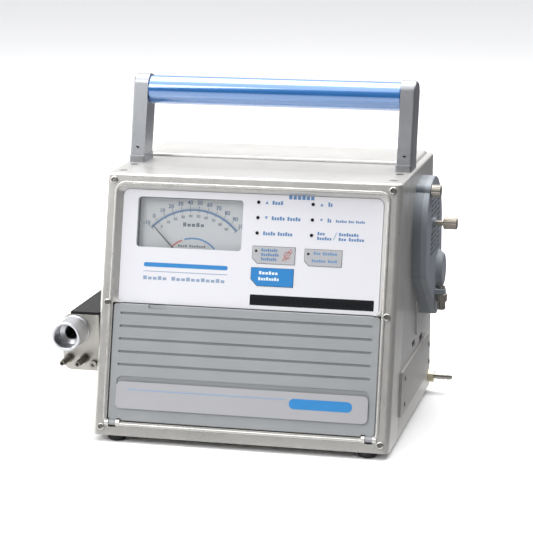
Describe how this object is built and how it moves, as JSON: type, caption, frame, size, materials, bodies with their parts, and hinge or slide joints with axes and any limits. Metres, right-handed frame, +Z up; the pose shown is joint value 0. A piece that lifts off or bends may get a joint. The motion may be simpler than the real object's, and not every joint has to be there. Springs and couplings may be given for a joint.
{
  "type": "mechanical ventilator",
  "caption": "Portable mechanical ventilator: wedge-front metal case with carry handle, pressure meter, membrane keys, flip-down front cover, patient manifold and gas intake.",
  "frame": {"origin": "on the standing surface, under the middle of the whole object's box", "axes": "+X to the user's right, +Y from the front panel to the back, +Z up"},
  "size_m": [0.283, 0.206, 0.2612],
  "materials": {
    "case_metal": "satin silver-grey",
    "rear_metal": "satin grey",
    "inner_metal": "plain",
    "rubber_black": "matt",
    "steel": "satin",
    "panel_white": "fine satin film",
    "lamp": "domed",
    "dark_window": "smoked",
    "meter_body": "moulded",
    "dial": "printed",
    "window_clear": "clear",
    "pointer": "painted",
    "key_grey": "film",
    "key_blue": "film",
    "control_face": "film",
    "board": "circuit board",
    "cover_grey": "fine texture",
    "handle_metal": "satin",
    "grip_blue": "glossy",
    "manifold_metal": "brushed",
    "lid_black": "matt",
    "outlet_metal": "satin",
    "barb_metal": "satin",
    "inlet_metal": "satin blue-grey",
    "filter_felt": "felt",
    "nickel": "knurled",
    "brass_nut": "satin",
    "plastic_black": "moulded",
    "battery_blue": "shrink sleeve"
  },
  "bodies": {
    "case": {"base_plate": "rear_metal", "battery_door": "rear_metal", "battery_pack": "battery_blue", "blower_housing": "inner_metal", "blower_motor": "steel", "chassis_tray": "inner_metal", "control_panel": "control_face", "cover_hinge_pins": "steel", "display_window": "dark_window", "door_screws": "steel", "fan_frame": "plastic_black", "fan_guard": "steel", "feet": "rubber_black", "frame_screws": "steel", "front_frame": "case_metal", "handle_grip": "grip_blue", "handle_left_post": "handle_metal", "handle_right_post": "handle_metal", "handle_rod": "steel", "handle_screws": "steel", "indicator_leds": "lamp", "inlet_cover": "inlet_metal", "inlet_filter": "filter_felt", "inlet_housing": "inlet_metal", "keypad_board": "board", "main_board": "board", "manifold_block": "manifold_metal", "manifold_lid": "lid_black", "manifold_screw": "barb_metal", "meter_case": "meter_body", "meter_dial": "dial", "meter_window": "window_clear", "oxygen_fitting": "outlet_metal", "oxygen_nut": "brass_nut", "patient_outlet": "outlet_metal", "power_inlet": "plastic_black", "pressure_barb": "barb_metal", "rear_screws": "steel", "rear_shell": "rear_metal", "setting_window": "dark_window", "top_screws": "steel", "upper_panel": "panel_white", "valve_barb": "barb_metal"},
    "cover": {"front_cover": "cover_grey"},
    "pointer": {"meter_pointer": "pointer"},
    "fan": {"fan_rotor": "plastic_black"},
    "impeller": {"blower_impeller": "plastic_black"},
    "thumb_screw_top": {"upper_thumb_screw": "nickel"},
    "thumb_screw_low": {"lower_thumb_screw": "nickel"},
    "mixer": {"mixer_knob": "nickel"},
    "silence_key": {"silence_key": "key_grey"},
    "battery_key": {"battery_key": "key_grey"},
    "manual_key": {"manual_key": "key_blue"},
    "mode_key": {"mode_key": "key_grey"},
    "rate_key": {"rate_key": "key_grey"},
    "volume_key": {"volume_key": "key_grey"},
    "pressure_key": {"pressure_key": "key_grey"},
    "up_key": {"up_key": "key_grey"},
    "down_key": {"down_key": "key_grey"},
    "standby_key": {"standby_key": "key_blue"}
  },
  "joints": [
    {"name": "cover_hinge", "type": "hinge", "parent": "case", "child": "cover", "pos_m": [0, -0.09583, 0.01391], "axis": [1, 0, 0], "range_deg": [0, 105]},
    {"name": "pointer_turn", "type": "hinge", "parent": "case", "child": "pointer", "pos_m": [-0.045, -0.06045, 0.12615], "axis": [0, 0.9724, -0.2334], "range_deg": [0, 90], "stiffness_Nm_per_rad": 0.004},
    {"name": "fan_spin", "type": "hinge", "parent": "case", "child": "fan", "pos_m": [0.045, 0.088, 0.112], "axis": [0, 1, 0], "continuous": true},
    {"name": "impeller_spin", "type": "hinge", "parent": "case", "child": "impeller", "pos_m": [-0.048, 0.025, 0.08], "axis": [0, 0, 1], "continuous": true},
    {"name": "upper_thumb_turn", "type": "hinge", "parent": "case", "child": "thumb_screw_top", "pos_m": [0.126, 0.0145, 0.179], "axis": [1, 0, 0], "continuous": true},
    {"name": "lower_thumb_turn", "type": "hinge", "parent": "case", "child": "thumb_screw_low", "pos_m": [0.1278, 0.046, 0.088], "axis": [0, 0, 1], "continuous": true},
    {"name": "mixer_turn", "type": "hinge", "parent": "case", "child": "mixer", "pos_m": [0.13, 0.0275, 0.152], "axis": [1, 0, 0], "range_deg": [0, 270]},
    {"name": "silence_key_press", "type": "slide", "parent": "case", "child": "silence_key", "axis": [0, 0.9724, -0.2334], "range_m": [0, 0.0005], "stiffness_N_per_m": 1500},
    {"name": "battery_key_press", "type": "slide", "parent": "case", "child": "battery_key", "axis": [0, 0.9724, -0.2334], "range_m": [0, 0.0005], "stiffness_N_per_m": 1500},
    {"name": "manual_key_press", "type": "slide", "parent": "case", "child": "manual_key", "axis": [0, 0.9724, -0.2334], "range_m": [0, 0.0005], "stiffness_N_per_m": 1500},
    {"name": "mode_key_press", "type": "slide", "parent": "case", "child": "mode_key", "axis": [0, 0.9724, -0.2334], "range_m": [0, 0.001], "stiffness_N_per_m": 1200},
    {"name": "rate_key_press", "type": "slide", "parent": "case", "child": "rate_key", "axis": [0, 0.9724, -0.2334], "range_m": [0, 0.001], "stiffness_N_per_m": 1200},
    {"name": "volume_key_press", "type": "slide", "parent": "case", "child": "volume_key", "axis": [0, 0.9724, -0.2334], "range_m": [0, 0.001], "stiffness_N_per_m": 1200},
    {"name": "pressure_key_press", "type": "slide", "parent": "case", "child": "pressure_key", "axis": [0, 0.9724, -0.2334], "range_m": [0, 0.001], "stiffness_N_per_m": 1200},
    {"name": "up_key_press", "type": "slide", "parent": "case", "child": "up_key", "axis": [0, 0.9724, -0.2334], "range_m": [0, 0.001], "stiffness_N_per_m": 1200},
    {"name": "down_key_press", "type": "slide", "parent": "case", "child": "down_key", "axis": [0, 0.9724, -0.2334], "range_m": [0, 0.001], "stiffness_N_per_m": 1200},
    {"name": "standby_key_press", "type": "slide", "parent": "case", "child": "standby_key", "axis": [0, 0.9724, -0.2334], "range_m": [0, 0.001], "stiffness_N_per_m": 1200}
  ]
}
